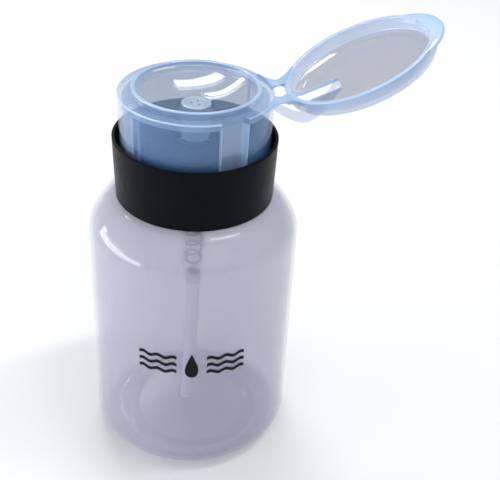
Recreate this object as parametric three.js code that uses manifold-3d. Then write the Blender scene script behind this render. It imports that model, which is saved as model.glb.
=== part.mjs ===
// Push-down pump dispenser bottle for cotton pads: a blow-moulded bottle, a screw collar with a tall shroud,
// a lift pump with a dip tube, and a dished press head with a flip lid on a moulded strap hinge.
//
// Millimetres, +Z up. The origin is the centre of the bottle's base, on the bottle's axis.
// +X points from the axis to the lid hinge. The lid stands open, as it is in use.
import * as THREE from "three";
import { mergeVertices } from "three/addons/utils/BufferGeometryUtils.js";
import Module from "manifold-3d";

const wasm = await Module();
wasm.setup();

// ---------- driving dimensions ----------
const SEG = 32; // facets round the large turned pieces
const SEG_S = 16; // facets round the small ones

// bottle
const BODY_R = 32.5;
const BODY_WALL = 1.1;
const BASE_CORNER = 7.8;
const BASE_FLOOR = 1.5;
const BODY_TOP = 75.0; // where the shoulder starts
const SHOULDER_IN_R = 24.0; // where the shoulder runs under the collar
const SHOULDER_IN_Z = 88.7;
const NECK_R = 10.9;
const NECK_BORE_R = 9.4;
const NECK_TOP = 102.6;

// neck thread, one start, right-handed
const THREAD_PITCH = 4.0;
const THREAD_TURNS = 1.5;
const THREAD_Z = 92.6;
const THREAD_NECK_R = 11.0;
const THREAD_NECK_r = 0.95;
const THREAD_CAP_R = 12.3;
const THREAD_CAP_r = 0.9;

// collar
const COLLAR_BOT = 88.9;
const COLLAR_TOP = 108.1;
const COLLAR_R_BOT = 24.0;
const COLLAR_R_TOP = 24.6;
const COLLAR_WALL = 1.0;
const CAP_R = 13.9; // inner threaded cap, outside
const CAP_BORE_R = 12.4;
const CAP_TOP = 106.5;
const DECK_BOT = 89.4;
const DECK_TOP = 90.8;
const CAP_HOLE_R = 5.5;
const KEY_W = 6.4;
const KEY_IN_R = 21.2;
const KEY_TOP = 105.0;

// press head
const HEAD_TOP = 121.6; // the ledge that the lid closes on
const HEAD_R = 22.7;
const HEAD_R_BOT = 22.2;
const HEAD_WALL = 1.2;
const HEAD_BOT = 97.4;
const LIP_R = 18.8;
const LIP_IN_R = 17.6;
const LIP_TOP = 123.4;
const DISH_MID_Z = 117.9;
const PLUG_HOLE_R = 4.65; // hole in the middle of the dish
const PLUG_RING_R = 5.6; // ring under it
const PLUG_RING_BOT = 115.6;
const PLUG_R = 4.5;
const PLUG_BOT = 107.0;
const PLUG_BORE_R = 2.25;
const PLUG_SEAT_Z = 115.2;
const STROKE = 6.0;
const CHANNEL_ANGLES = [-63.1]; // key channel, degrees from the hinge
const PAD_ANGLES = [26.9, 116.9, -153.1]; // guide pads inside the skirt
const CHANNEL_W = 7.3;
const CHANNEL_FLOOR_R = 20.6;

// hinge and lid
const HINGE_X = 24.0;
const HINGE_Z = 121.7;
const STRAP_Y = [3.6, 8.4]; // each strap, from and to, on both sides
const LID_OPEN = 153.5; // degrees from shut
const LID_R = 22.5;
const LID_FLOOR = 126.4; // inside face
const LID_FLOOR_R = 18.9;
const LID_SKIN = 1.2;
const TAB_C = 8.5;
const TAB_R = 16.8;
const SLOT_X = [7.3, 20.4];
const SLOT_W = 6.8;

// snap band under the hinge: its path in (x, z) with the lid open
const BAND_W = 6.0;
const BAND_T = 0.9;
const BAND_PATH = [
  [23.15, 117.1], [26.0, 115.2], [29.6, 113.7], [33.0, 113.9], [36.3, 116.6], [39.1, 120.5], [40.4, 124.4],
];

// pump
const CHAMBER_R = 4.0;
const CHAMBER_BORE_R = 3.2;
const CHAMBER_BOT = 59.6;
const TUBE_R = 2.25;
const TUBE_BORE_R = 1.6;
const TUBE_END = new THREE.Vector3(-1.9, 0.1, 4.0);
const STEM_R = 2.1;
const STEM_BORE_R = 1.2;
const STEM_TOP = 112.6;
const STEM_BOT = 86.8;
const PISTON_R = 3.1;
const SPRING_BOT = 62.7;
const SPRING_TOP = 86.5;
const SPRING_R = 2.5;
const SPRING_WIRE_r = 0.35;
const SPRING_TURNS = 8;
const BALL_R = 1.5;
const SUCTION_BALL_Z = 60.38;
const OUTLET_BALL_Z = 112.9;

// ---------- helpers ----------
const rad = THREE.MathUtils.degToRad;
const pts = (list) => list.map(([r, z]) => new THREE.Vector2(r, z));

// A turned solid about Z. The profile runs anticlockwise in (r, z), seen with r to the right.
function turned(profile, seg = SEG) {
  const g = new THREE.LatheGeometry(pts(profile), seg);
  g.rotateX(Math.PI / 2); // lathe axis Y to Z
  g.scale(1, -1, 1); // keep +Y a right-handed match, then turn the faces back
  const index = g.index.array;
  for (let i = 0; i < index.length; i += 3) [index[i + 1], index[i + 2]] = [index[i + 2], index[i + 1]];
  return g;
}

// Points on an arc in (r, z), angles in degrees.
function arc(cr, cz, r, from, to, n) {
  const out = [];
  for (let i = 0; i <= n; i++) {
    const a = rad(from + ((to - from) * i) / n);
    out.push([cr + r * Math.cos(a), cz + r * Math.sin(a)]);
  }
  return out;
}

function solid(g) {
  const bare = new THREE.BufferGeometry().setAttribute("position", g.getAttribute("position").clone());
  bare.setIndex(g.index ? g.index.clone() : null);
  const m = mergeVertices(bare, 1e-4);
  // drop the slivers that merging leaves on an axis
  const keep = [];
  const ix = m.index.array;
  for (let i = 0; i < ix.length; i += 3)
    if (ix[i] !== ix[i + 1] && ix[i + 1] !== ix[i + 2] && ix[i] !== ix[i + 2]) keep.push(ix[i], ix[i + 1], ix[i + 2]);
  const s = new wasm.Manifold(
    new wasm.Mesh({ numProp: 3, vertProperties: new Float32Array(m.attributes.position.array), triVerts: new Uint32Array(keep) }),
  );
  if (s.volume() < 0) throw new Error("a profile runs the wrong way round");
  return s;
}

function geometry(s) {
  const m = s.getMesh(),
    n = m.numProp,
    v = new Float32Array(m.numVert * 3);
  for (let i = 0; i < m.numVert; i++) v.set(m.vertProperties.subarray(i * n, i * n + 3), i * 3);
  const g = new THREE.BufferGeometry();
  g.setAttribute("position", new THREE.BufferAttribute(v, 3));
  g.setIndex(new THREE.BufferAttribute(m.triVerts, 1));
  g.computeVertexNormals();
  return g;
}

function box(x0, x1, y0, y1, z0, z1) {
  const g = new THREE.BoxGeometry(x1 - x0, y1 - y0, z1 - z0);
  g.translate((x0 + x1) / 2, (y0 + y1) / 2, (z0 + z1) / 2);
  return g;
}

// A box that lies along a radius: from r0 to r1, width w across it, turned by deg about Z.
function radialBox(r0, r1, w, z0, z1, deg) {
  return box(r0, r1, -w / 2, w / 2, z0, z1).rotateZ(rad(deg));
}

// An (x, z) outline extruded across Y, from -w/2 to w/2.
function sideSlab(outline, w) {
  const s = new THREE.Shape(outline.map(([x, z]) => new THREE.Vector2(x, z)));
  const g = new THREE.ExtrudeGeometry(s, { depth: w, bevelEnabled: false });
  g.rotateX(Math.PI / 2); // outline to XZ, depth to -Y
  g.translate(0, w / 2, 0);
  return g;
}

// An (x, y) outline extruded up Z.
function flatSlab(shape, z0, z1, curveSegments = 20) {
  const g = new THREE.ExtrudeGeometry(shape, { depth: z1 - z0, bevelEnabled: false, curveSegments });
  g.translate(0, 0, z0);
  return g;
}

class Helix extends THREE.Curve {
  constructor(r, pitch, turns, z, phase = 0) {
    super();
    Object.assign(this, { r, pitch, turns, z, phase });
  }
  getPoint(t, target = new THREE.Vector3()) {
    const a = this.phase + t * this.turns * Math.PI * 2;
    return target.set(this.r * Math.cos(a), this.r * Math.sin(a), this.z + t * this.turns * this.pitch);
  }
}

function ringShape(r, sides, boreR = 0) {
  const outline = (rr) => Array.from({ length: sides }, (_, i) => {
    const a = ((i + 0.5) / sides) * Math.PI * 2;
    return new THREE.Vector2(rr * Math.cos(a), rr * Math.sin(a));
  });
  const s = new THREE.Shape(outline(r));
  if (boreR) s.holes.push(new THREE.Path(outline(boreR).reverse()));
  return s;
}

function swept(shape, path, steps) {
  return new THREE.ExtrudeGeometry(shape, { steps, extrudePath: path, bevelEnabled: false, curveSegments: 1 });
}

// ---------- bottle ----------
function bottle() {
  const innerR = BODY_R - BODY_WALL;
  // shoulder: a round corner off the body, then a long slope that flattens under the collar
  const shoulderOut = new THREE.CatmullRomCurve3(
    [
      [BODY_R, BODY_TOP],
      [BODY_R - 0.2, 78.5],
      [BODY_R - 1.3, 81.4],
      [BODY_R - 3.2, 84.3],
      [BODY_R - 5.1, 86.7],
      [BODY_R - 7.4, 88.2],
      [20.6, SHOULDER_IN_Z],
    ].map(([r, z]) => new THREE.Vector3(r, z, 0)),
    false,
    "centripetal",
  ).getPoints(10).map((p) => [p.x, p.y]);
  const shoulderIn = [
    [NECK_BORE_R + 1.2, SHOULDER_IN_Z - 1.1],
    [20.4, SHOULDER_IN_Z - 1.2],
    [SHOULDER_IN_R - 0.1, SHOULDER_IN_Z - 1.4],
    [BODY_R - 5.9, 85.8],
    [BODY_R - 4.1, 83.6],
    [BODY_R - 2.3, 80.9],
    [BODY_R - 1.3, 78.2],
    [innerR, BODY_TOP],
  ];
  const s = solid(
    turned([
      [0, 0],
      [19.0, 0],
      [19.6, 0.8],
      [21.9, 0.8],
      [22.5, 0],
      ...arc(BODY_R - BASE_CORNER, BASE_CORNER, BASE_CORNER, -90, 0, 5),
      ...shoulderOut,
      [NECK_R + 1.6, SHOULDER_IN_Z + 0.05],
      [NECK_R, SHOULDER_IN_Z + 1.2],
      [NECK_R, NECK_TOP - 0.3],
      [NECK_R - 0.3, NECK_TOP],
      [NECK_BORE_R, NECK_TOP],
      [NECK_BORE_R, SHOULDER_IN_Z + 0.8],
      ...shoulderIn,
      ...arc(BODY_R - BASE_CORNER, BASE_CORNER, BASE_CORNER - BODY_WALL, 0, -82, 4),
      [22.6, BASE_FLOOR],
      [21.0, BASE_FLOOR + 0.5],
      [18.6, BASE_FLOOR],
      [0, BASE_FLOOR],
    ]),
  );
  const thread = solid(
    swept(ringShape(THREAD_NECK_r, 6), new Helix(THREAD_NECK_R, THREAD_PITCH, THREAD_TURNS, THREAD_Z), 30),
  );
  return geometry(s.add(thread));
}

// ---------- collar ----------
function collar() {
  const shell = solid(
    turned([
      [COLLAR_R_BOT - 0.9, COLLAR_BOT],
      [COLLAR_R_BOT - 0.15, COLLAR_BOT],
      [COLLAR_R_BOT, COLLAR_BOT + 0.2],
      [COLLAR_R_TOP, COLLAR_TOP - 0.3],
      [COLLAR_R_TOP - 0.3, COLLAR_TOP],
      [COLLAR_R_TOP - COLLAR_WALL + 0.2, COLLAR_TOP],
      [COLLAR_R_TOP - COLLAR_WALL, COLLAR_TOP - 0.3],
      [COLLAR_R_BOT - COLLAR_WALL, DECK_TOP],
      [CAP_R, DECK_TOP],
      [CAP_R, CAP_TOP - 0.8],
      [CAP_R - 0.8, CAP_TOP],
      [CAP_HOLE_R + 1.2, CAP_TOP],
      [CAP_HOLE_R + 1.0, CAP_TOP + 0.6],
      [CAP_HOLE_R, CAP_TOP + 0.6],
      [CAP_HOLE_R, CAP_TOP - 1.6],
      [CAP_BORE_R, CAP_TOP - 1.6],
      [CAP_BORE_R, DECK_BOT + 0.6],
      [CAP_BORE_R + 0.6, DECK_BOT],
      [COLLAR_R_BOT - 0.9, DECK_BOT],
    ].concat([[COLLAR_R_BOT - 0.9, COLLAR_BOT]])),
  );
  const thread = solid(
    swept(
      ringShape(THREAD_CAP_r, 6),
      new Helix(THREAD_CAP_R, THREAD_PITCH, THREAD_TURNS, THREAD_Z + THREAD_PITCH / 2),
      30,
    ),
  );
  // the cap wall keeps the thread's outer half inside itself
  const outer = solid(turned([[0, DECK_BOT], [CAP_R - 0.1, DECK_BOT], [CAP_R - 0.1, CAP_TOP], [0, CAP_TOP]]));
  let s = shell.add(thread.intersect(outer));
  for (const a of CHANNEL_ANGLES) {
    const outlineR = (z) => COLLAR_R_BOT + ((COLLAR_R_TOP - COLLAR_R_BOT) * (z - COLLAR_BOT)) / (COLLAR_TOP - COLLAR_BOT) - 0.5;
    s = s.add(solid(radialBox(KEY_IN_R, outlineR(DECK_TOP), KEY_W, DECK_TOP - 0.5, KEY_TOP, a)));
  }
  return geometry(s);
}

// ---------- press head ----------
// Height of the dish's upper face at radius r: a shallow bowl.
const dishZ = (r) => DISH_MID_Z + 3.6 * Math.pow(Math.max(0, (r - 3.5) / (LIP_IN_R - 0.5 - 3.5)), 1.9);

function head() {
  const up = [], under = [];
  for (let i = 0; i <= 7; i++) {
    const r = PLUG_HOLE_R + ((LIP_IN_R - 0.5 - PLUG_HOLE_R) * i) / 7;
    const q = PLUG_RING_R + ((LIP_IN_R - 0.5 - PLUG_RING_R) * i) / 7;
    up.push([r, dishZ(r)]);
    under.push([q, dishZ(q) - HEAD_WALL]);
  }
  const innerR = HEAD_R - HEAD_WALL;
  let s = solid(
    turned([
      [PLUG_HOLE_R, PLUG_RING_BOT],
      [PLUG_RING_R, PLUG_RING_BOT],
      ...under,
      [LIP_IN_R + 0.6, HEAD_TOP - HEAD_WALL],
      [innerR, HEAD_TOP - HEAD_WALL],
      [HEAD_R_BOT - HEAD_WALL, HEAD_BOT + 0.2],
      [HEAD_R_BOT - HEAD_WALL + 0.2, HEAD_BOT],
      [HEAD_R_BOT - 0.2, HEAD_BOT],
      [HEAD_R_BOT, HEAD_BOT + 0.2],
      [HEAD_R, HEAD_TOP - 0.25],
      [HEAD_R - 0.25, HEAD_TOP],
      [LIP_R, HEAD_TOP],
      [LIP_R, LIP_TOP - 0.3],
      [LIP_R - 0.3, LIP_TOP],
      [LIP_IN_R + 0.3, LIP_TOP],
      [LIP_IN_R, LIP_TOP - 0.3],
      ...up.slice().reverse(),
      [PLUG_HOLE_R, PLUG_RING_BOT],
    ]),
  );
  for (const a of CHANNEL_ANGLES) {
    s = s.add(solid(radialBox(CHANNEL_FLOOR_R - 1.1, HEAD_R_BOT - 0.65, CHANNEL_W + 2.2, HEAD_BOT, HEAD_TOP - 0.6, a)));
    s = s.subtract(solid(radialBox(CHANNEL_FLOOR_R, HEAD_R + 2, CHANNEL_W, HEAD_BOT - 1, HEAD_TOP + 1, a)));
  }
  for (const a of PAD_ANGLES)
    s = s.add(solid(radialBox(CHANNEL_FLOOR_R - 0.8, HEAD_R_BOT - 0.6, 7.6, HEAD_BOT, HEAD_TOP - 0.6, a)));
  return geometry(s);
}

// The plug in the middle of the dish: it sits on the stem, a small shoulder carries the head,
// and three holes in its top let the liquid into the dish.
function nozzlePlug() {
  const top = DISH_MID_Z + 0.1;
  let s = solid(
    turned(
      [
        [PLUG_BORE_R, PLUG_BOT],
        [PLUG_R - 0.6, PLUG_BOT],
        [PLUG_R, PLUG_BOT + 0.6],
        [PLUG_R, PLUG_RING_BOT - 0.9],
        [PLUG_R + 0.45, PLUG_RING_BOT - 0.7],
        [PLUG_R + 0.45, PLUG_RING_BOT - 0.2],
        [PLUG_R, PLUG_RING_BOT - 0.15],
        [PLUG_R, top - 0.25],
        [PLUG_R - 0.25, top],
        [0, top],
        [0, PLUG_SEAT_Z + 1.4],
        [1.9, PLUG_SEAT_Z + 1.4],
        [1.9, PLUG_SEAT_Z],
        [PLUG_BORE_R, PLUG_SEAT_Z],
        [PLUG_BORE_R, PLUG_BOT],
      ],
      SEG_S,
    ),
  );
  for (const a of [178, 66, -58]) {
    const hole = new THREE.CylinderGeometry(0.42, 0.42, 6, 10).rotateX(Math.PI / 2);
    hole.translate(1.35 * Math.cos(rad(a)), 1.35 * Math.sin(rad(a)), DISH_MID_Z - 0.5);
    s = s.subtract(solid(hole));
  }
  return geometry(s);
}

// ---------- lid, drawn shut ----------
function lid() {
  const innerR = LID_R - 1.4;
  const rimZ = HINGE_Z + 0.1;
  let s = solid(
    turned([
      [0, LID_FLOOR + 0.3],
      [10.0, LID_FLOOR + 0.2],
      [LID_FLOOR_R, LID_FLOOR],
      [20.4, LID_FLOOR - 0.7],
      [innerR, LID_FLOOR - 2.0],
      [innerR, rimZ],
      [LID_R, rimZ],
      [LID_R, LID_FLOOR - 1.3],
      [LID_R - 0.3, LID_FLOOR - 0.4],
      [LID_R - 1.4, LID_FLOOR + 0.5],
      [LID_R - 3.4, LID_FLOOR + LID_SKIN - 0.1],
      [10.0, LID_FLOOR + LID_SKIN + 0.2],
      [0, LID_FLOOR + LID_SKIN + 0.3],
    ]),
  );
  // thumb crescent opposite the hinge, with a raised border
  const crescent = (r) => {
    const c = new THREE.Shape();
    c.absarc(-TAB_C, 0, r, Math.PI / 2, (3 * Math.PI) / 2, false);
    return c;
  };
  const inside = solid(turned([[0, 119], [LID_R - 0.6, 119], [LID_R - 0.6, 130], [0, 130]]));
  const plate = solid(flatSlab(crescent(TAB_R), rimZ, rimZ + 0.9, 12));
  const border = solid(flatSlab(crescent(TAB_R), rimZ, rimZ + 1.4, 12)).subtract(solid(flatSlab(crescent(TAB_R - 0.8), 119, 130, 12)));
  s = s.add(plate.add(border).subtract(inside));
  // slot for the snap band
  s = s.subtract(solid(box(SLOT_X[0], SLOT_X[1], -SLOT_W / 2, SLOT_W / 2, 125.0, 129)));
  const g = geometry(s);
  g.translate(-HINGE_X, 0, -HINGE_Z); // about its own hinge line
  return g;
}

// ---------- moulded hinge ----------
// One thin strap, from the head's ledge across the hinge line to the open lid's rim.
function hingeStrap(side) {
  const outline = [
    [22.35, 121.65], [23.6, 121.65], [24.6, 121.65], [25.45, 121.95],
    [25.2, 122.55], [24.5, 122.05], [23.6, 122.0], [22.35, 122.2],
  ];
  const g = sideSlab(outline, STRAP_Y[1] - STRAP_Y[0]);
  g.translate(0, (side * (STRAP_Y[0] + STRAP_Y[1])) / 2, 0);
  return g;
}

// The snap band: a flat strip that bows below the hinge, from the skirt to the lid.
function bowBand() {
  const curve = new THREE.CatmullRomCurve3(BAND_PATH.map(([x, z]) => new THREE.Vector3(x, z, 0)), false, "centripetal");
  const n = 16, over = [], below = [];
  for (let i = 0; i <= n; i++) {
    const p = curve.getPointAt(i / n), t = curve.getTangentAt(i / n);
    over.push([p.x - (t.y * BAND_T) / 2, p.y + (t.x * BAND_T) / 2]);
    below.push([p.x + (t.y * BAND_T) / 2, p.y - (t.x * BAND_T) / 2]);
  }
  return sideSlab(below.concat(over.reverse()), BAND_W);
}

// ---------- pump ----------
function pumpHousing() {
  return turned(
    [
      [2.4, 54.8],
      [3.2, 54.8],
      [3.2, 58.6],
      [CHAMBER_R, CHAMBER_BOT],
      [CHAMBER_R, 96.4],
      [6.4, 97.6],
      [6.4, 103.6],
      [11.9, 103.6],
      [11.9, 104.7],
      [5.3, 104.7],
      [5.3, 97.8],
      [CHAMBER_BORE_R, 97.0],
      [CHAMBER_BORE_R, 62.5],
      [2.1, 61.8],
      [2.1, 60.6],
      [1.0, 59.0],
      [1.0, 58.2],
      [2.4, 58.2],
      [2.4, 54.8],
    ],
    SEG_S,
  );
}

function gasket() {
  return turned([[7.0, 102.75], [11.8, 102.75], [11.8, 103.45], [7.0, 103.45], [7.0, 102.75]], SEG_S);
}

function stemGuide() {
  return turned(
    [
      [2.3, 94.2],
      [2.95, 94.2],
      [2.95, 98.05],
      [5.15, 98.35],
      [5.15, 100.3],
      [4.9, 100.5],
      [2.3, 100.5],
      [2.3, 94.2],
    ],
    SEG_S,
  );
}

function stem() {
  return turned(
    [
      [STEM_BORE_R, STEM_BOT],
      [2.6, STEM_BOT],
      [2.6, STEM_BOT + 0.9],
      [STEM_R, STEM_BOT + 0.9],
      [STEM_R, STEM_TOP - 0.2],
      [STEM_R - 0.2, STEM_TOP],
      [1.75, STEM_TOP],
      [STEM_BORE_R, STEM_TOP - 0.7],
      [STEM_BORE_R, STEM_BOT],
    ],
    SEG_S,
  );
}

function piston() {
  const b = STEM_BOT + 1.05;
  return turned(
    [
      [STEM_R + 0.1, b],
      [2.6, b],
      [PISTON_R, b + 0.1],
      [PISTON_R, b + 0.7],
      [2.7, b + 1.4],
      [2.7, b + 3.9],
      [PISTON_R, b + 4.6],
      [PISTON_R, b + 5.2],
      [2.75, b + 5.3],
      [STEM_R + 0.1, b + 4.9],
      [STEM_R + 0.1, b],
    ],
    SEG_S,
  );
}

function spring() {
  return swept(
    ringShape(SPRING_WIRE_r, 5),
    new Helix(SPRING_R, (SPRING_TOP - SPRING_BOT - 2 * SPRING_WIRE_r) / SPRING_TURNS, SPRING_TURNS, SPRING_BOT + SPRING_WIRE_r),
    88,
  );
}

function dipTube() {
  const top = 58.0;
  const path = new THREE.CatmullRomCurve3([
    new THREE.Vector3(0, 0, top),
    new THREE.Vector3(0, 0, 54.0),
    new THREE.Vector3(-0.15, 0, 44.0),
    new THREE.Vector3(-0.85, 0.05, 24.0),
    TUBE_END,
  ]);
  return swept(ringShape(TUBE_R, 12, TUBE_BORE_R), path, 18);
}

function ball(z) {
  return new THREE.SphereGeometry(BALL_R, 12, 8).translate(0, 0, z);
}

// ---------- materials ----------
const mat = (color, roughness, metalness = 0, opacity = 1) =>
  new THREE.MeshStandardMaterial({ color, roughness, metalness, opacity, transparent: opacity < 1 });
const milky = mat(0xd3d7e4, 0.3, 0, 0.55);
const clear = mat(0xbdd0ea, 0.16, 0, 0.42);
const black = mat(0x0c0d11, 0.38);
const natural = mat(0xe3e8ef, 0.4, 0, 0.7);
const soft = mat(0xeceae4, 0.55);
const steel = mat(0xc4c7cb, 0.22, 1);

function part(name, g, material) {
  const m = new THREE.Mesh(g, material);
  m.name = name;
  return m;
}

// ---------- assembly ----------
const root = new THREE.Group();
root.add(part("bottle", bottle(), milky));

const pumpUnit = new THREE.Group();
pumpUnit.add(part("pump_housing", pumpHousing(), natural));
pumpUnit.add(part("neck_gasket", gasket(), soft));
pumpUnit.add(part("stem_guide", stemGuide(), natural));
pumpUnit.add(part("dip_tube", dipTube(), natural));
pumpUnit.add(part("suction_ball", ball(SUCTION_BALL_Z), steel));
root.add(pumpUnit);

root.add(part("collar", collar(), black));

const press = new THREE.Group();
press.add(part("press_head", head(), clear));
press.add(part("nozzle_plug", nozzlePlug(), natural));
press.add(part("stem", stem(), natural));
press.add(part("piston", piston(), soft));
press.add(part("return_spring", spring(), steel));
press.add(part("outlet_ball", ball(OUTLET_BALL_Z), steel));
press.add(part("hinge_strap_front", hingeStrap(-1), clear));
press.add(part("hinge_strap_rear", hingeStrap(1), clear));
press.add(part("hinge_bow_band", bowBand(), clear));

const hinge = new THREE.Group();
hinge.position.set(HINGE_X, 0, HINGE_Z);
hinge.rotation.y = rad(LID_OPEN);
hinge.add(part("lid", lid(), clear));
press.add(hinge);
root.add(press);

export default root;
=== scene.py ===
import bpy, bmesh, math
import numpy as np
from mathutils import Vector, Matrix


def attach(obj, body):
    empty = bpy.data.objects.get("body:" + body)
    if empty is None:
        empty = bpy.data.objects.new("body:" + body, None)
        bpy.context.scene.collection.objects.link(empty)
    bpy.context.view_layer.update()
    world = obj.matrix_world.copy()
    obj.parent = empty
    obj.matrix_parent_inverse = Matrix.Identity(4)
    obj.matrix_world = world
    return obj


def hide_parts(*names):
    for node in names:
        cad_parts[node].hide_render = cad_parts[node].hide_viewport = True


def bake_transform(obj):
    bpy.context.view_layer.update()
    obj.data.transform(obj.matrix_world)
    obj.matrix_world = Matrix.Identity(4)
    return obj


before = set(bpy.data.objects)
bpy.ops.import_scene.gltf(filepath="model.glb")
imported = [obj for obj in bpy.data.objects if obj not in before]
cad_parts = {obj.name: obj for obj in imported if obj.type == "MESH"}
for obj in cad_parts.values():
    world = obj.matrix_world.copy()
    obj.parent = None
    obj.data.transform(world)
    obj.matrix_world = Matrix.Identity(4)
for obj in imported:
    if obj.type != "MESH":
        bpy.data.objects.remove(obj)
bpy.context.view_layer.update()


MM = 0.001
rad = math.radians

# ------------------------------------------------------------------ camera
F_PX, D, H = 900.0, 238.3367, 229.4987
YAW, PITCH, ROLL, PHI = 0.0749, 0.5870, 0.0585, 0.040
C = Vector((0, -D, H))
fwd = Vector((math.sin(YAW) * math.cos(PITCH), math.cos(YAW) * math.cos(PITCH), -math.sin(PITCH)))
right = Vector((math.cos(YAW), -math.sin(YAW), 0))
up = right.cross(fwd)
r2 = math.cos(ROLL) * right + math.sin(ROLL) * up
u2 = -math.sin(ROLL) * right + math.cos(ROLL) * up
turn = Matrix.Rotation(-PHI, 3, "Z")
C, fwd, r2, u2 = turn @ C, turn @ fwd, turn @ r2, turn @ u2
cam_data = bpy.data.cameras.new("camera")
cam_data.sensor_width = 36.0
cam_data.lens = F_PX / 500.0 * 36.0
cam_data.clip_start = 0.01
cam = bpy.data.objects.new("camera", cam_data)
bpy.context.scene.collection.objects.link(cam)
m = Matrix.Identity(4)
for i in range(3):
    m[i][0], m[i][1], m[i][2], m[i][3] = r2[i], u2[i], -fwd[i], C[i] * MM
cam.matrix_world = m
bpy.context.scene.camera = cam
bpy.context.scene.view_settings.view_transform = "Standard"


# ------------------------------------------------------------------ mesh helpers
def new_object(name, verts, faces):
    me = bpy.data.meshes.new(name)
    me.from_pydata([tuple(v) for v in verts], [], faces)
    bm = bmesh.new()
    bm.from_mesh(me)
    bmesh.ops.remove_doubles(bm, verts=bm.verts, dist=1e-8)
    bmesh.ops.recalc_face_normals(bm, faces=bm.faces)
    bm.to_mesh(me)
    bm.free()
    o = bpy.data.objects.new(name, me)
    bpy.context.scene.collection.objects.link(o)
    return o


def smooth(o, angle=32):
    o.data.shade_smooth()
    o.data.set_sharp_from_angle(angle=rad(angle))
    return o


def rounded(points, n=4):
    """A closed or open outline of (x, y[, radius]) with its corners rounded by radius."""
    out = []
    k = len(points)
    for i, p in enumerate(points):
        x, y = p[0], p[1]
        r = p[2] if len(p) > 2 else 0
        if r <= 0 or i in (0, k - 1):
            out.append((x, y))
            continue
        a = Vector((points[i - 1][0] - x, points[i - 1][1] - y))
        b = Vector((points[i + 1][0] - x, points[i + 1][1] - y))
        la, lb = a.length, b.length
        a.normalize()
        b.normalize()
        half = math.acos(max(-1, min(1, a.dot(b)))) / 2
        t = min(r / math.tan(half), 0.48 * la, 0.48 * lb)
        p0, p2, p1 = Vector((x, y)) + a * t, Vector((x, y)) + b * t, Vector((x, y))
        for j in range(n + 1):
            s = j / n
            q = p0 * (1 - s) ** 2 + p1 * 2 * s * (1 - s) + p2 * s * s
            out.append((q.x, q.y))
    return out


def arc(cr, cz, r, a0, a1, n):
    return [(cr + r * math.cos(rad(a0 + (a1 - a0) * i / n)), cz + r * math.sin(rad(a0 + (a1 - a0) * i / n))) for i in range(n + 1)]


def spline(points, n):
    """Centripetal-like Catmull-Rom through (x, y) points, n steps a span."""
    P = [Vector(p) for p in points]
    P = [P[0] * 2 - P[1]] + P + [P[-1] * 2 - P[-2]]
    out = []
    for i in range(1, len(P) - 2):
        for j in range(n):
            t = j / n
            a, b, c, d = P[i - 1], P[i], P[i + 1], P[i + 2]
            out.append(0.5 * ((2 * b) + (c - a) * t + (2 * a - 5 * b + 4 * c - d) * t * t + (3 * b - a - 3 * c + d) * t ** 3))
    out.append(P[-2])
    return [tuple(v) for v in out]


def split_long(profile, step):
    """Adds points so no stretch of the profile is longer than step."""
    out = []
    k = len(profile)
    for i in range(k):
        a, b = profile[i], profile[(i + 1) % k]
        out.append(a)
        if i == k - 1 and not closed_on_itself(profile):
            break
        n = int(math.dist(a, b) // step)
        for j in range(1, n + 1):
            out.append((a[0] + (b[0] - a[0]) * j / (n + 1), a[1] + (b[1] - a[1]) * j / (n + 1)))
    return out


def closed_on_itself(profile):
    return not (profile[0][0] < 1e-6 and profile[-1][0] < 1e-6)


def lathe(name, profile, seg=160, angles=None, shape=None, origin=(0, 0)):
    """Turns a profile in mm about Z. It starts and ends on the axis, or closes on itself.
    shape(r, z, a) -> (r, z) may change the section with the angle."""
    angles = angles or [2 * math.pi * i / seg for i in range(seg)]
    loop = closed_on_itself(profile)
    verts, rings = [], []
    for r, z in profile:
        if r < 1e-6:
            rings.append([len(verts)])
            verts.append((origin[0] * MM, origin[1] * MM, z * MM))
            continue
        ring = []
        for a in angles:
            rr, zz = shape(r, z, a) if shape else (r, z)
            ring.append(len(verts))
            verts.append(((rr * math.cos(a) + origin[0]) * MM, (rr * math.sin(a) + origin[1]) * MM, zz * MM))
        rings.append(ring)
    faces = []
    n = len(angles)
    for i in range(len(rings) if loop else len(rings) - 1):
        A, B = rings[i], rings[(i + 1) % len(rings)]
        for j in range(n):
            k = (j + 1) % n
            if len(A) == 1 and len(B) == 1:
                continue
            if len(A) == 1:
                faces.append((A[0], B[j], B[k]))
            elif len(B) == 1:
                faces.append((A[j], B[0], A[k]))
            else:
                faces.append((A[j], B[j], B[k], A[k]))
    return new_object(name, verts, faces)


def tube(name, path, section, closed_ends=True, upv=Vector((0, 0, 1)), taper=None):
    """Sweeps a closed section of (u, v) in mm along a path of 3-D points in mm."""
    P = [Vector(p) for p in path]
    verts, faces = [], []
    k = len(section)
    N = None
    for i, p in enumerate(P):
        t = (P[min(i + 1, len(P) - 1)] - P[max(i - 1, 0)]).normalized()
        if N is None:
            N = (upv - t * upv.dot(t)).normalized()
        else:
            N = (N - t * N.dot(t)).normalized()
        B = t.cross(N)
        s = taper(i / (len(P) - 1)) if taper else 1.0
        for u, v in section:
            verts.append((p + N * u * s + B * v * s) * MM)
    for i in range(len(P) - 1):
        for j in range(k):
            a, b = i * k + j, i * k + (j + 1) % k
            faces.append((a, b, b + k, a + k))
    if closed_ends:
        faces.append(tuple(range(k))[::-1])
        faces.append(tuple(range((len(P) - 1) * k, len(P) * k)))
    return new_object(name, verts, faces)


def circle(r, n):
    return [(r * math.cos(2 * math.pi * i / n), r * math.sin(2 * math.pi * i / n)) for i in range(n)]


def prism(name, outline, z0, z1):
    n = len(outline)
    verts = [(x * MM, y * MM, z0 * MM) for x, y in outline] + [(x * MM, y * MM, z1 * MM) for x, y in outline]
    faces = [tuple(range(n))[::-1], tuple(range(n, 2 * n))]
    faces += [(i, (i + 1) % n, n + (i + 1) % n, n + i) for i in range(n)]
    return new_object(name, verts, faces)


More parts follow.
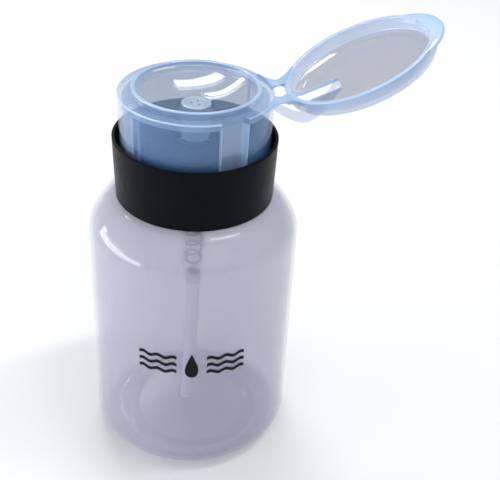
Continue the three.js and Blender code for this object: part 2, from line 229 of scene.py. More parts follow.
def boolean(o, other, operation):
    mod = o.modifiers.new("cut", "BOOLEAN")
    mod.operation, mod.object = operation, other
    mod.solver = "MANIFOLD"
    dg = bpy.context.evaluated_depsgraph_get()
    me = bpy.data.meshes.new_from_object(o.evaluated_get(dg))
    if len(me.polygons) == 0:
        mod.solver = "EXACT"
        dg = bpy.context.evaluated_depsgraph_get()
        me = bpy.data.meshes.new_from_object(o.evaluated_get(dg))
    o.modifiers.clear()
    o.data = me
    bpy.data.objects.remove(other)
    return o


def bevel(o, width, segments=2, angle=38):
    mod = o.modifiers.new("bevel", "BEVEL")
    mod.width, mod.segments, mod.limit_method, mod.angle_limit = width * MM, segments, "ANGLE", rad(angle)
    mod.use_clamp_overlap = True
    dg = bpy.context.evaluated_depsgraph_get()
    me = bpy.data.meshes.new_from_object(o.evaluated_get(dg))
    o.modifiers.clear()
    o.data = me
    return o


def place(o, body, material, slot, *nodes):
    o.data.materials.clear()
    o.data.materials.append(material)
    if nodes:
        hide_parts(*nodes)
    if body:
        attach(o, body)
    return o


# ------------------------------------------------------------------ materials
def principled(name, color, roughness, metallic=0.0, transmission=0.0, ior=1.5, coat=0.0):
    mat = bpy.data.materials.new(name)
    mat.use_nodes = True
    nt = mat.node_tree
    b = nt.nodes["Principled BSDF"]
    b.inputs["Base Color"].default_value = (*color, 1)
    b.inputs["Roughness"].default_value = roughness
    b.inputs["Metallic"].default_value = metallic
    b.inputs["Transmission Weight"].default_value = transmission
    b.inputs["IOR"].default_value = ior
    b.inputs["Coat Weight"].default_value = coat
    return mat, nt, b


def noise(nt, scale, detail=3, stretch=(1, 1, 1)):
    tc = nt.nodes.new("ShaderNodeTexCoord")
    mp = nt.nodes.new("ShaderNodeMapping")
    mp.inputs["Scale"].default_value = stretch
    nz = nt.nodes.new("ShaderNodeTexNoise")
    nz.inputs["Scale"].default_value = scale
    nz.inputs["Detail"].default_value = detail
    nt.links.new(tc.outputs["Object"], mp.inputs["Vector"])
    nt.links.new(mp.outputs["Vector"], nz.inputs["Vector"])
    return nz


def vary(nt, source, socket, low, high):
    """A number that wanders between low and high with a noise."""
    mr = nt.nodes.new("ShaderNodeMapRange")
    mr.inputs["From Min"].default_value, mr.inputs["From Max"].default_value = 0.3, 0.7
    mr.inputs["To Min"].default_value, mr.inputs["To Max"].default_value = low, high
    nt.links.new(source.outputs["Fac"], mr.inputs["Value"])
    nt.links.new(mr.outputs["Result"], socket)


def tint(nt, source, socket, a, b):
    mix = nt.nodes.new("ShaderNodeMix")
    mix.data_type = "RGBA"
    mix.inputs["A"].default_value = (*a, 1)
    mix.inputs["B"].default_value = (*b, 1)
    nt.links.new(source.outputs["Fac"], mix.inputs["Factor"])
    nt.links.new(mix.outputs["Result"], socket)


def bump(nt, source, socket, strength, distance, before=None):
    bp = nt.nodes.new("ShaderNodeBump")
    bp.inputs["Strength"].default_value = strength
    bp.inputs["Distance"].default_value = distance * MM
    nt.links.new(source.outputs["Fac"], bp.inputs["Height"])
    if before:
        nt.links.new(before.outputs["Normal"], bp.inputs["Normal"])
    nt.links.new(bp.outputs["Normal"], socket)
    return bp


# blow-moulded polyethylene: milky, glossy, with the slow waves that the mould leaves
milky, nt, b = principled("milky_polyethylene", (0.45, 0.47, 0.65), 0.12, ior=1.5)
b.inputs["Alpha"].default_value = 0.36
tint(nt, noise(nt, 40, 2, (1, 1, 0.4)), b.inputs["Base Color"], (0.53, 0.515, 0.63), (0.47, 0.485, 0.645))
vary(nt, noise(nt, 90, 2), b.inputs["Roughness"], 0.08, 0.12)
b.inputs["Sheen Weight"].default_value = 0.06
b.inputs["Sheen Roughness"].default_value = 0.5
b.inputs["Sheen Tint"].default_value = (0.72, 0.82, 1.0, 1)
b.inputs["Coat Weight"].default_value = 0.8
b.inputs["Coat IOR"].default_value = 1.5
b.inputs["Coat Roughness"].default_value = 0.06
b.inputs["Specular IOR Level"].default_value = 0.3
w = bump(nt, noise(nt, 24, 1, (1, 1, 0.3)), b.inputs["Normal"], 0.12, 0.3)
w = bump(nt, noise(nt, 420, 2), b.inputs["Normal"], 0.17, 0.05, w)
bump(nt, noise(nt, 2400, 2), b.inputs["Normal"], 0.05, 0.01, w)


# injection-moulded polypropylene: clear where it is thin, with a blue haze where it is thick; the pale near-opaque copy
# used on edges also carries painted edge glow, bright lines painted along the head's and lid's edges
def haze(name, alpha, base_a, base_b, rough, sheen=0.15):
    mat, nt, b = principled(name, base_a, rough, ior=1.5)
    b.inputs["Alpha"].default_value = alpha
    tint(nt, noise(nt, 120, 2), b.inputs["Base Color"], base_a, base_b)
    vary(nt, noise(nt, 260, 3), b.inputs["Roughness"], rough - 0.03, rough + 0.04)
    b.inputs["Coat Weight"].default_value = 1.0
    b.inputs["Coat IOR"].default_value = 1.7
    b.inputs["Coat Roughness"].default_value = 0.04
    b.inputs["Sheen Weight"].default_value = sheen
    b.inputs["Sheen Roughness"].default_value = 0.6
    b.inputs["Sheen Tint"].default_value = (0.36, 0.62, 1.0, 1)
    w = bump(nt, noise(nt, 110, 1), b.inputs["Normal"], 0.12, 0.12)
    bump(nt, noise(nt, 2400, 2), b.inputs["Normal"], 0.06, 0.01, w)
    return mat


clear = haze("clear_polypropylene", 0.42, (0.165, 0.19, 0.275), (0.15, 0.175, 0.265), 0.08)
dish_mat = haze("dish_polypropylene", 0.34, (0.20, 0.31, 0.46), (0.185, 0.29, 0.44), 0.07)
# pale near-opaque copy for the lip and rim corners: partly the denser plastic of thick corners, partly painted edge
# glow that paints bright lines along edges
thick = haze("thick_and_edge_glow_polypropylene", 0.75, (0.50, 0.71, 1.0), (0.46, 0.67, 0.98), 0.14)
ledge = haze("ledge_polypropylene", 0.48, (0.33, 0.50, 0.80), (0.30, 0.47, 0.78), 0.12)
rib = haze("rib_polypropylene", 0.44, (0.46, 0.62, 0.88), (0.42, 0.58, 0.86), 0.12)
skirt = haze("skirt_polypropylene", 0.25, (0.20, 0.42, 0.82), (0.18, 0.40, 0.80), 0.09)
plug_mat = haze("hazy_polypropylene", 0.62, (0.66, 0.82, 0.98), (0.58, 0.75, 0.95), 0.15)

# black moulded collar, semi-gloss with a fine skin texture
black, nt, b = principled("black_polypropylene", (0.003, 0.0035, 0.005), 0.36)
tint(nt, noise(nt, 90, 3), b.inputs["Base Color"], (0.0022, 0.0036, 0.0065), (0.0045, 0.0055, 0.009))
vary(nt, noise(nt, 420, 4), b.inputs["Roughness"], 0.30, 0.42)
b.inputs["Specular IOR Level"].default_value = 0.055
w = bump(nt, noise(nt, 3200, 2), b.inputs["Normal"], 0.2, 0.015)
bump(nt, noise(nt, 60, 1), b.inputs["Normal"], 0.1, 0.12, w)

# the dip tube is whiter and hazier than the pump's clear housing
tube_mat = haze("dip_tube_polyethylene", 0.92, (0.98, 0.985, 1.0), (0.95, 0.97, 1.0), 0.2, sheen=0.6)

natural, nt, b = principled("natural_polypropylene", (0.70, 0.80, 0.92), 0.18, ior=1.5)
b.inputs["Alpha"].default_value = 0.17
b.inputs["Coat Weight"].default_value = 0.6
b.inputs["Coat Roughness"].default_value = 0.08
tint(nt, noise(nt, 300, 2), b.inputs["Base Color"], (0.72, 0.82, 0.94), (0.64, 0.75, 0.90))
vary(nt, noise(nt, 700, 2), b.inputs["Roughness"], 0.14, 0.24)
b.inputs["Sheen Weight"].default_value = 0.4
b.inputs["Sheen Tint"].default_value = (0.7, 0.85, 1.0, 1)
bump(nt, noise(nt, 2600, 2), b.inputs["Normal"], 0.2, 0.015)

seal, nt, b = principled("soft_seal", (0.86, 0.85, 0.82), 0.6)
tint(nt, noise(nt, 500, 3), b.inputs["Base Color"], (0.90, 0.89, 0.86), (0.80, 0.79, 0.75))
bump(nt, noise(nt, 2200, 3), b.inputs["Normal"], 0.3, 0.03)

steel, nt, b = principled("bright_steel", (0.72, 0.73, 0.75), 0.2, metallic=1.0)
vary(nt, noise(nt, 1200, 4, (1, 1, 6)), b.inputs["Roughness"], 0.14, 0.3)
bump(nt, noise(nt, 2400, 3), b.inputs["Normal"], 0.2, 0.01)

spring_steel, nt, b = principled("spring_steel", (0.24, 0.27, 0.33), 0.3, metallic=1.0)
vary(nt, noise(nt, 1200, 4), b.inputs["Roughness"], 0.22, 0.4)
bump(nt, noise(nt, 2400, 3), b.inputs["Normal"], 0.2, 0.01)

ink, nt, b = principled("screen_ink", (0.006, 0.006, 0.008), 0.42)
b.inputs["Specular IOR Level"].default_value = 0.10
tint(nt, noise(nt, 900, 4), b.inputs["Base Color"], (0.004, 0.004, 0.006), (0.012, 0.012, 0.014))
vary(nt, noise(nt, 1600, 2), b.inputs["Roughness"], 0.35, 0.5)
bump(nt, noise(nt, 5000, 2), b.inputs["Normal"], 0.3, 0.01)

# ------------------------------------------------------------------ bottle
BODY_R, WALL = 32.5, 1.1
shoulder = spline([(BODY_R, 72.0), (BODY_R, 75.0), (32.3, 78.5), (31.2, 81.4), (29.3, 84.3), (27.4, 86.7), (25.1, 88.2), (20.6, 88.7)], 8)[8:]
shoulder_in = spline([(12.7, 87.6), (20.4, 87.5), (23.9, 87.2), (26.6, 85.6), (28.3, 83.5), (30.1, 80.8), (31.2, 78.0), (31.4, 75.0), (31.4, 72.0)], 6)[:-6]
outer = (
    [(0, 0), (6, 0), (12, 0)]
    + rounded([(18.0, 0), (19.0, 0, 0.4), (19.6, 0.8, 0.4), (21.9, 0.8, 0.4), (22.5, 0, 0.4), (24.2, 0)])
    + arc(24.7, 7.8, 7.8, -90, 0, 14)
)
neck = rounded([(18.0, 88.74), (12.5, 88.75, 0.6), (10.9, 89.9, 0.6), (10.9, 102.6, 0.3), (9.4, 102.6, 0.3), (9.4, 89.3, 1.0), (10.6, 87.6, 0.8), (12.6, 87.6)])
inner = arc(24.7, 7.8, 6.7, 0, -84, 12) + rounded([(23.0, 1.4), (22.6, 1.5, 0.3), (21.0, 2.0, 0.4), (18.6, 1.5, 0.4), (17.0, 1.5)]) + [(10, 1.5), (0, 1.5)]
wall = [(BODY_R, 10.0 + 64.0 * i / 11) for i in range(12)]
profile = outer + wall + shoulder + neck + shoulder_in + inner


def bottle_shape(r, z, a):
    # the body is very slightly out of round, as blown bottles are
    k = 0.05 * math.sin(2 * a + 0.7) + 0.03 * math.sin(3 * a + z * 0.05)
    k *= max(0.0, min(1.0, (r - 24) / 6)) * max(0.0, min(1.0, (80 - z) / 10))
    return r + k - 0.05 * (1 if r > 30 else 0), z


bottle = lathe("bottle_shell", profile, 192, shape=bottle_shape)


def thread(name, r, rr, pitch, turns, z0, phase=0.0, steps=150):
    path = []
    for i in range(steps + 1):
        t = i / steps
        a = phase + t * turns * 2 * math.pi
        path.append((r * math.cos(a), r * math.sin(a), z0 + t * turns * pitch))
    fade = lambda t: 0.35 + 0.65 * min(1, t / 0.06, (1 - t) / 0.06)
    return tube(name, path, circle(rr, 12), taper=fade)


boolean(bottle, thread("bottle_thread", 11.0, 0.95, 4.0, 1.5, 92.6), "UNION")
smooth(bottle)
place(bottle, "bottle", milky, "bottle", "bottle")

# ------------------------------------------------------------------ collar
collar_profile = split_long(
    rounded(
        [
            (23.1, 89.4), (23.1, 88.9, 0.12), (24.0, 88.9, 0.35), (24.6, 108.1, 0.35), (23.6, 108.1, 0.3), (23.02, 90.8, 0.5),
            (13.9, 90.8, 0.5), (13.9, 106.5, 0.8), (6.7, 106.5, 0.25), (6.5, 107.1, 0.15), (5.5, 107.1, 0.15), (5.5, 104.9, 0.15),
            (12.4, 104.9, 0.3), (12.4, 90.2, 0.2), (13.0, 89.4, 0.2), (22.0, 89.4),
        ],
        5,
    ),
    1.2,
)
MARK_A, MARK_Z = rad(-146), 98.6


def collar_shape(r, z, a):
    if r > 23.9:
        da = ((a - MARK_A + math.pi) % (2 * math.pi)) - math.pi
        r -= 0.14 * math.exp(-((da * 24 / 0.55) ** 2) - ((z - MARK_Z) / 1.5) ** 2)
    return r, z


collar = lathe("collar_shell", collar_profile, 240, shape=collar_shape)


def radial_box(name, r0, r1, w, z0, z1, deg):
    pts = [(r0, -w / 2), (r1, -w / 2), (r1, w / 2), (r0, w / 2)]
    c, s = math.cos(rad(deg)), math.sin(rad(deg))
    return prism(name, [(x * c - y * s, x * s + y * c) for x, y in pts], z0, z1)


cap_thread = thread("collar_thread", 12.35, 0.9, 4.0, 1.5, 94.6)
boolean(collar, cap_thread, "UNION")
for a in (-63.1,):
    boolean(collar, bevel(radial_box("key", 21.2, 23.5, 6.4, 90.2, 105.0, a), 0.4), "UNION")
smooth(collar)
place(collar, "collar", black, "black_plastic", "collar")

# ------------------------------------------------------------------ press head
CH_W, CH_R = 7.3, 20.6
CH_A = [rad(-63.1)]
PAD_A = [rad(26.9), rad(116.9), rad(-153.1)]


def dish(r):
    return 117.9 + 3.6 * max(0.0, (r - 3.5) / 13.6) ** 1.9


def between(a, b, n):
    return [a + (b - a) * i / n for i in range(n + 1)]


head_profile = rounded(
    [(4.65, 116.5), (4.65, 115.6, 0.2), (5.6, 115.6, 0.25), (5.6, dish(5.6) - 1.2, 0.2)]
    + [(r, dish(r) - 1.2) for r in between(6.2, 17.1, 15)]
    + [(18.2, 120.4, 0.3), (21.5, 120.4, 0.7), (21.0, 97.4, 0.2), (22.2, 97.4, 0.2), (22.7, 121.6, 0.35), (18.8, 121.6, 0.25), (18.8, 123.4, 0.35), (17.6, 123.4, 0.45)]
    + [(r, dish(r)) for r in between(17.1, 5.2, 17)]
    + [(4.65, dish(4.65), 0.2), (4.65, 116.9)],
    5,
)
head_profile = split_long(head_profile, 1.5)


def near(a, centre):
    return ((a - centre + math.pi) % (2 * math.pi)) - math.pi


half = math.asin(CH_W / 2 / CH_R)
angles = {2 * math.pi * i / 192 for i in range(192)}
for c in CH_A:
    angles = {a for a in angles if abs(abs(near(a, c)) - half) > rad(1.3)}
    for k in (-1, 1):
        for e in (-1.2, -0.6, 0.0, 0.6, 1.2):
            angles.add((c + k * (half + rad(e))) % (2 * math.pi))
for c in PAD_A:
    angles = {a for a in angles if abs(abs(near(a, c)) - rad(10.5)) > rad(1.0)}
    for k in (-1, 1):
        for e in (-0.7, 0.0, 0.7):
            angles.add((c + k * rad(10.5 + e)) % (2 * math.pi))
angles = sorted(angles)


def step_down(x, edge, soft):
    """1 inside the edge, 0 outside, with a short ramp."""
    return max(0.0, min(1.0, 0.5 - (x - edge) / (2 * soft)))


def head_shape(r, z, a):
    if r > 19.9 and z < 121.75:
        wall_in = 21.0 + 0.5 * (z - 97.4) / 23
        is_inner = r < wall_in + 0.25
        for c in CH_A:
            d = near(a, c)
            if abs(d) < 0.4:
                w = step_down(abs(d), half, rad(0.55))
                flat = CH_R / math.cos(min(abs(d), half))
                target = flat - 1.2 if is_inner else flat
                r = r + (min(r, target) - r) * w
        for c in PAD_A:
            d = near(a, c)
            if is_inner and abs(d) < 0.4:
                w = step_down(abs(d), rad(10.5), rad(0.6))
                r = r + (min(r, 19.9) - r) * w
    return r, z


head = lathe("press_head_shell", head_profile, angles=angles, shape=head_shape)
# two small moulded pips on the front of the skirt
for deg, z in ((-127.0, 113.2), (-49.5, 111.6)):
    c, s = 22.42 * math.cos(rad(deg)), 22.42 * math.sin(rad(deg))
    pip = lathe("pip", [(0, z - 0.42), (0.22, z - 0.36), (0.36, z - 0.21), (0.42, z), (0.36, z + 0.21), (0.22, z + 0.36), (0, z + 0.42)], 16, origin=(c, s))
    boolean(head, pip, "UNION")
smooth(head, 36)
place(head, "press", dish_mat, "clear_plastic", "press_head")


def zones(o, materials, choose):
    """Gives each face the material that choose(r, z, angle) picks, in mm."""
    for m in materials:
        o.data.materials.append(m)
    for f in o.data.polygons:
        c = f.center
        f.material_index = choose(math.hypot(c.x, c.y) / MM, c.z / MM, math.atan2(c.y, c.x))


def head_zone(r, z, a):
    # pale copy on the lip top and the outer top corner: partly denser plastic, partly painted edge glow showing as
    # bright lines
    if (z > 122.95 and r > 17.3) or (z > 121.2 and r > 22.25):
        return 1
    if z > 120.3 and r > 17.4:
        return 3
    if r > 19.0 and z < 120.3:
        for c in CH_A:
            d = abs(near(a, c))
            # a narrow stripe along each channel edge gets the pale copy: a painted bright edge line
            if abs(d - half) < rad(1.0):
                return 1
            if d < half:
                return 4
        if abs(near(a, PAD_A[2])) < rad(11.2):
            return 4
        return 2
    return 0


zones(head, [thick, skirt, ledge, rib], head_zone)

# plug with its outlet holes
plug = lathe(
    "nozzle_plug_body",
    rounded(
        [
            (2.25, 110), (2.25, 107.0, 0.15), (4.5, 107.0, 0.9), (4.5, 114.7, 0.1), (4.95, 114.9, 0.1), (4.95, 115.4, 0.1), (4.5, 115.45, 0.1),
            (4.5, 118.0, 0.4), (3.2, 118.0, 0.1), (3.0, 117.85, 0.1), (0, 117.85), (0, 116.6), (1.9, 116.6, 0.1), (1.9, 115.2, 0.1), (2.25, 115.2, 0.1), (2.25, 111),
        ],
        4,
    ),
    96,
)
for a in (178, 66, -58):
    boolean(
        plug,
        prism("hole", [(1.35 * math.cos(rad(a)) + 0.42 * x, 1.35 * math.sin(rad(a)) + 0.42 * y) for x, y in circle(1, 20)], 114, 120),
        "DIFFERENCE",
    )
bevel(plug, 0.06, 2, 50)
smooth(plug)
place(plug, "press", plug_mat, "natural_plastic", "nozzle_plug")

# ------------------------------------------------------------------ lid
HX, HZ, OPEN = 24.0, 121.7, 153.5
lid_profile = split_long(
    rounded(
        [
            (0, 126.70), (10.0, 126.62, 3), (18.4, 126.45, 1.5), (20.6, 125.6, 1.0), (21.05, 123.6, 0.6), (21.1, 121.8, 0.2), (22.5, 121.8, 0.25),
            (22.45, 124.9, 0.8), (22.0, 126.1, 0.7), (20.9, 126.95, 0.8), (19.0, 127.5, 1.5), (10.0, 127.8, 3), (0, 127.9),
        ],
        5,
    ),
    2.0,
)
lid = lathe("lid_shell", lid_profile, 192)
TAB_C, TAB_R = 8.5, 16.8


def crescent(r, n=40):
    outer_edge = [(-TAB_C + r * math.cos(rad(90 + 180 * i / n)), r * math.sin(rad(90 + 180 * i / n))) for i in range(n + 1)]
    outer_edge = [p for p in outer_edge if math.hypot(*p) > 22.05]
    a0, a1 = math.atan2(outer_edge[-1][1], outer_edge[-1][0]), math.atan2(outer_edge[0][1], outer_edge[0][0])
    if a0 < 0:
        a0 += 2 * math.pi
    inner_edge = [(22.0 * math.cos(a0 + (a1 - a0) * i / n), 22.0 * math.sin(a0 + (a1 - a0) * i / n)) for i in range(n + 1)]
    return outer_edge + inner_edge


tab = prism("tab", crescent(TAB_R), 121.8, 122.9)
tab = bevel(tab, 0.3, 3)
boolean(lid, tab, "UNION")
edge_path = [(-TAB_C + (TAB_R - 0.45) * math.cos(rad(t)), (TAB_R - 0.45) * math.sin(rad(t)), 122.45) for t in [122 + 116 * i / 60 for i in range(61)]]
boolean(lid, tube("tab_rim", edge_path, circle(0.62, 14), taper=lambda t: 0.5 + 0.5 * min(1, t / 0.1, (1 - t) / 0.1)), "UNION")
slot = prism("slot", rounded([(13.85, -3.4), (20.4, -3.4, 0.6), (20.4, 3.4, 0.6), (7.3, 3.4, 0.6), (7.3, -3.4, 0.6), (13.85, -3.4)], 5)[:-1], 124.0, 130.0)
boolean(lid, slot, "DIFFERENCE")
opening = Matrix.Translation((HX * MM, 0, HZ * MM)) @ Matrix.Rotation(rad(OPEN), 4, "Y") @ Matrix.Translation((-HX * MM, 0, -HZ * MM))
smooth(lid, 38)
place(lid, "lid", clear, "clear_plastic", "lid")


def lid_zone(r, z, a):
    slot_edge = abs(r * math.sin(a)) < 3.7 and 6.8 < r * math.cos(a) < 20.8
    # the slot edges, the rim's lower edge and its outer face take the pale copy: painted bright edge lines, partly
    # denser plastic
    if slot_edge or (r > 21.0 and z < 122.1) or r > 22.9:
        return 1
    return 2 if r > 20.5 else 0


zones(lid, [thick, rib], lid_zone)
lid.data.transform(opening)

# ------------------------------------------------------------------ moulded hinge
LEAN = rad(180 - OPEN)


def flare(radius):
    """Half a strap in plan, from the ring of that radius to the hinge line: pairs (outer edge, inner edge) as (distance from the hinge line, y)."""
    th = rad(33)
    p0 = Vector((radius * math.cos(th), radius * math.sin(th)))
    drop_to = 8.0
    k = (p0.y - drop_to) / math.cos(th)
    p1 = Vector((p0.x + k * math.sin(th), drop_to))
    p2 = Vector((HX, drop_to))
    pairs = []
    n = 18
    for i in range(n + 1):
        t = i / n
        o = p0 * (1 - t) ** 2 + p1 * 2 * t * (1 - t) + p2 * t * t
        if t < 0.62:
            a = rad(33 + (8.5 - 33) * t / 0.62)
            q = Vector(((radius - 0.35) * math.cos(a), (radius - 0.35) * math.sin(a)))
        else:
            u = (t - 0.62) / 0.38
            a = rad(8.5)
            start = Vector(((radius - 0.35) * math.cos(a), (radius - 0.35) * math.sin(a)))
            q = start.lerp(Vector((HX, 3.8)), u)
            q.y += 0.22 * math.sin(math.pi * u)
        pairs.append(((HX - o.x, o.y), (HX - q.x, q.y)))
    return pairs


def strap(name, side):
    head_half = flare(22.6)
    lid_half = flare(22.4)[::-1]
    rows = []
    for (ox, oy), (ix, iy) in head_half:
        rows.append((-ox, oy, -ix, iy))
    for (ox, oy), (ix, iy) in lid_half[1:]:
        rows.append((ox, oy, ix, iy))
    w = 6
    verts, faces, top, low = [], [], [], []
    for ox, oy, ix, iy in rows:
        for layer, store in ((0, top), (1, low)):
            for j in range(w + 1):
                f = j / w
                s = ix + (ox - ix) * f
                y = side * (iy + (oy - iy) * f)
                thick = 0.34 + 0.85 * min(1.0, abs(s) / 1.5) ** 1.5
                x, z = (HX + s, HZ) if s < 0 else (HX + s * math.cos(LEAN), HZ + s * math.sin(LEAN))
                nx, nz = (0, 1) if s < 0 else (-math.sin(LEAN), math.cos(LEAN))
                d = 0.06 - layer * thick
                store.append(len(verts))
                verts.append(((x + nx * d) * MM, y * MM, (z + nz * d) * MM))
    k, n = w + 1, len(rows) - 1
    T = lambda i, j: top[i * k + j]
    L = lambda i, j: low[i * k + j]
    for i in range(n):
        for j in range(w):
            faces.append((T(i, j), T(i + 1, j), T(i + 1, j + 1), T(i, j + 1)))
            faces.append((L(i, j), L(i, j + 1), L(i + 1, j + 1), L(i + 1, j)))
        faces.append((T(i, 0), L(i, 0), L(i + 1, 0), T(i + 1, 0)))
        faces.append((T(i, w), T(i + 1, w), L(i + 1, w), L(i, w)))
    for j in range(w):
        faces.append((T(0, j), T(0, j + 1), L(0, j + 1), L(0, j)))
        faces.append((T(n, j), L(n, j), L(n, j + 1), T(n, j + 1)))
    return new_object(name, verts, faces)


for name, side in (("hinge_strap_front", -1), ("hinge_strap_rear", 1)):
    o = strap(name + "_web", side)
    smooth(o, 40)
    place(o, None, thick, "clear_plastic", name)
    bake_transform(o)

band_path = spline([(22.6, 117.3), (26.0, 115.2), (29.6, 113.7), (33.0, 113.9), (36.3, 116.6), (39.1, 120.5), (40.75, 124.7)], 10)
w, t = 3.0, 0.45
section = rounded([(0, -w), (t, -w, 0.3), (t, w, 0.3), (-t, w, 0.3), (-t, -w, 0.3), (0, -w)], 3)[:-1]
band = tube("hinge_bow_band_strip", [(x, 0, z) for x, z in band_path], section)
smooth(band)
place(band, None, skirt, "clear_plastic", "hinge_bow_band")
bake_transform(band)

# ------------------------------------------------------------------ pump
housing = lathe(
    "pump_housing_body",
    rounded(
        [
            (2.4, 56.0), (2.4, 54.8, 0.15), (3.2, 54.8, 0.3), (3.2, 58.4, 0.3), (4.0, 59.8, 0.4), (4.0, 96.4, 0.4), (6.4, 97.6, 0.4), (6.4, 103.6, 0.2),
            (11.9, 103.6, 0.15), (11.9, 104.7, 0.15), (5.3, 104.7, 0.2), (5.3, 97.8, 0.2), (3.2, 97.0, 0.3), (3.2, 62.5, 0.2), (2.1, 61.8, 0.1), (2.1, 60.6, 0.1),
            (1.0, 59.0, 0.1), (1.0, 58.2, 0.1), (2.4, 58.2, 0.1), (2.4, 57.0),
        ],
        4,
    ),
    80,
)
smooth(housing)
place(housing, "pump_unit", natural, "natural_plastic", "pump_housing")

tube_path = spline([(0, 58.0), (0, 54.0), (-0.15, 44.0), (-0.85, 24.0), (-1.9, 4.0)], 12)
outer_t = tube("dip_tube_body", [(x, 0.0, z) for x, z in tube_path], circle(2.25, 40))
bore = tube("dip_bore", [(x, 0.0, z) for x, z in [(0, 59)] + tube_path[1:-1] + [(-2.05, 1.0)]], circle(1.6, 32))
boolean(outer_t, bore, "DIFFERENCE")
smooth(outer_t)
place(outer_t, "pump_unit", tube_mat, "natural_plastic", "dip_tube")

gasket = lathe("neck_gasket_ring", rounded([(8, 102.75), (11.8, 102.75, 0.2), (11.8, 103.45, 0.2), (7.0, 103.45, 0.2), (7.0, 102.75, 0.2), (7.9, 102.75)], 4), 96)
smooth(gasket)
place(gasket, "pump_unit", seal, "seal", "neck_gasket")

guide = lathe("stem_guide_ring", rounded([(2.3, 97), (2.3, 94.2, 0.1), (2.95, 94.2, 0.2), (2.95, 98.05, 0.2), (5.15, 98.35, 0.2), (5.15, 100.5, 0.25), (2.3, 100.5, 0.15), (2.3, 98)], 4), 64)
smooth(guide)
place(guide, "pump_unit", natural, "natural_plastic", "stem_guide")

stem = lathe("stem_body", rounded([(1.2, 95), (1.2, 86.8, 0.1), (2.6, 86.8, 0.2), (2.6, 87.7, 0.2), (2.1, 87.7, 0.1), (2.1, 112.6, 0.2), (1.75, 112.6, 0.1), (1.2, 111.9, 0.1), (1.2, 96)], 4), 64)
smooth(stem)
place(stem, "press", natural, "natural_plastic", "stem")

pb = 87.85
piston = lathe(
    "piston_seal",
    rounded([(2.2, pb + 1), (2.2, pb, 0.1), (2.6, pb, 0.1), (3.1, pb + 0.1, 0.1), (3.1, pb + 0.7, 0.15), (2.7, pb + 1.4, 0.3), (2.7, pb + 3.9, 0.3), (3.1, pb + 4.6, 0.2), (3.1, pb + 5.2, 0.08), (2.75, pb + 5.3, 0.1), (2.2, pb + 4.9, 0.1), (2.2, pb + 2)], 4),
    64,
)
smooth(piston)
place(piston, "press", seal, "seal", "piston")

N, turns, z0, z1 = 8 * 40, 8.0, 63.05, 86.15
coil = []
for i in range(N + 1):
    t = i / N
    # the last turn at each end lies flat, as on a closed-end spring
    z = z0 + (z1 - z0) * min(1, max(0, (t - 0.09) / 0.82)) + 0.35 * (2 * t - 1)
    a = t * turns * 2 * math.pi
    coil.append((2.5 * math.cos(a), 2.5 * math.sin(a), min(max(z, z0), z1)))
spring = tube("return_spring_wire", coil, circle(0.34, 10))
smooth(spring)
place(spring, None, spring_steel, "steel", "return_spring")
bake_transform(spring)

for name, body, z in (("suction_ball", "suction_ball", 60.38), ("outlet_ball", "outlet_ball", 112.9)):
    ball = lathe(name + "_sphere", [(1.5 * math.cos(rad(t)), z + 1.5 * math.sin(rad(t))) if 0 < i < 24 else (0, z + 1.5 * math.sin(rad(t))) for i, t in enumerate([-90 + 7.5 * k for k in range(25)])], 48)
    smooth(ball, 60)
    place(ball, body, steel, "steel", name)

# ------------------------------------------------------------------ printed mark: a drop between ripples, no letters
def on_body(name, outline, cx, cz, thick=0.07):
    """A flat outline in mm wrapped on the body about the printed side."""
    R = BODY_R + 0.03
    base = rad(-92.3)
    verts, n = [], len(outline)
    for off in (0.0, thick):
        for x, z in outline:
            a = base + (x + cx) / BODY_R
            verts.append(((R + off) * math.cos(a) * MM, (R + off) * math.sin(a) * MM, (z + cz) * MM))
    faces = [tuple(range(n))[::-1], tuple(range(n, 2 * n))] + [(i, (i + 1) % n, n + (i + 1) % n, n + i) for i in range(n)]
    return new_object(name, verts, faces)


def drop_outline(s, n=48):
    out = []
    for i in range(n):
        t = 2 * math.pi * i / n
        out.append((s * 0.62 * math.sin(t) * math.sin(t / 2) ** 1.5, s * math.cos(t)))
    return out


def ripple(length, amp, thick, waves, n=60):
    c = [(-length / 2 + length * i / n, amp * math.sin(2 * math.pi * waves * i / n)) for i in range(n + 1)]
    out = [(x, z + thick / 2) for x, z in c] + [(x, z - thick / 2) for x, z in c[::-1]]
    return out


marks = [on_body("mark_drop", drop_outline(4.7), 0.0, 46.0)]
for side in (-1, 1):
    for k, (length, dz) in enumerate(((12.0, 2.7), (12.0, 0.0), (12.0, -2.7))):
        marks.append(on_body(f"mark_ripple_{'left' if side < 0 else 'right'}_{k}", ripple(length, 0.42, 1.15, 2.5), side * 10.6, 46.0 + dz))
for o in marks:
    smooth(o, 60)
    o.data.materials.append(ink)
    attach(o, "bottle")

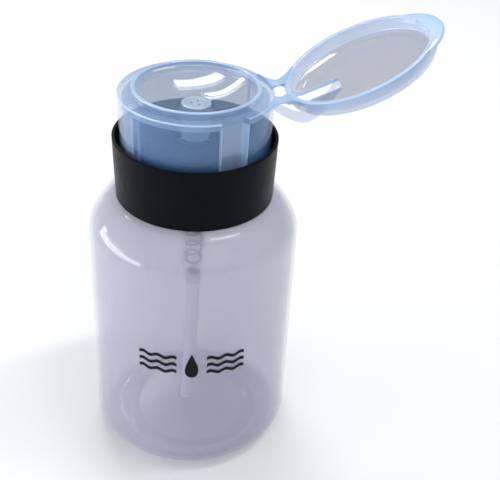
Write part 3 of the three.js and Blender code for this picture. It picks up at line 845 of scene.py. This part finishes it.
# ------------------------------------------------------------------ stage and light
def stage_plane(size, z):
    s = size / 2
    me = bpy.data.meshes.new("floor")
    me.from_pydata([(-s, -s, z), (s, -s, z), (s, s, z), (-s, s, z)], [], [(0, 1, 2, 3)])
    o = bpy.data.objects.new("floor", me)
    bpy.context.scene.collection.objects.link(o)
    return o


floor = stage_plane(30, 0.0)
fm, nt, b = principled("floor_paper", (0.93, 0.93, 0.94), 0.9)
tint(nt, noise(nt, 6, 2), b.inputs["Base Color"], (0.935, 0.935, 0.94), (0.92, 0.922, 0.93))
floor.data.materials.append(fm)

world = bpy.data.worlds.new("studio")
bpy.context.scene.world = world
world.use_nodes = True
bg = world.node_tree.nodes["Background"]
bg.inputs["Color"].default_value = (0.95, 0.97, 1.0, 1)
bg.inputs["Strength"].default_value = 0.46


def window(name, at, along, length, width, radiance, color=(1, 1, 1), target=(0, 0, 0.11)):
    """A rectangular light at a place in metres, its long side along a direction, with its brightness given as radiance."""
    d = bpy.data.lights.new(name, "AREA")
    d.shape, d.size, d.size_y, d.energy, d.color = "RECTANGLE", length, width, math.pi * length * width * radiance, color
    o = bpy.data.objects.new(name, d)
    bpy.context.scene.collection.objects.link(o)
    z = (Vector(at) - Vector(target)).normalized()
    x = Vector(along)
    x = (x - z * x.dot(z)).normalized()
    y = z.cross(x)
    m = Matrix.Identity(4)
    for k in range(3):
        m[k][0], m[k][1], m[k][2], m[k][3] = x[k], y[k], z[k], at[k]
    o.matrix_world = m
    return o


window("window_high", (-0.01, 0.50, 0.935), (-0.474, -0.194, 0.115), 0.45, 0.16, 12.0, (1, 0.99, 0.97))
window("window_low", (-0.178, 0.69, 0.74), (-0.371, -0.19, 0.14), 0.42, 0.07, 16.0, (1, 0.99, 0.97))
window("window_left", (-0.80, -0.06, 0.09), (0, 1, 0), 0.95, 0.15, 10.0, (0.93, 0.96, 1), (0, 0, 0.08))
window("window_right", (0.33, -0.055, 1.0), (0.40, 0.215, -0.136), 0.40, 0.06, 34.0)
window("fill", (0.25, -0.85, 0.75), (1, 0, 0), 0.9, 0.7, 0.9)
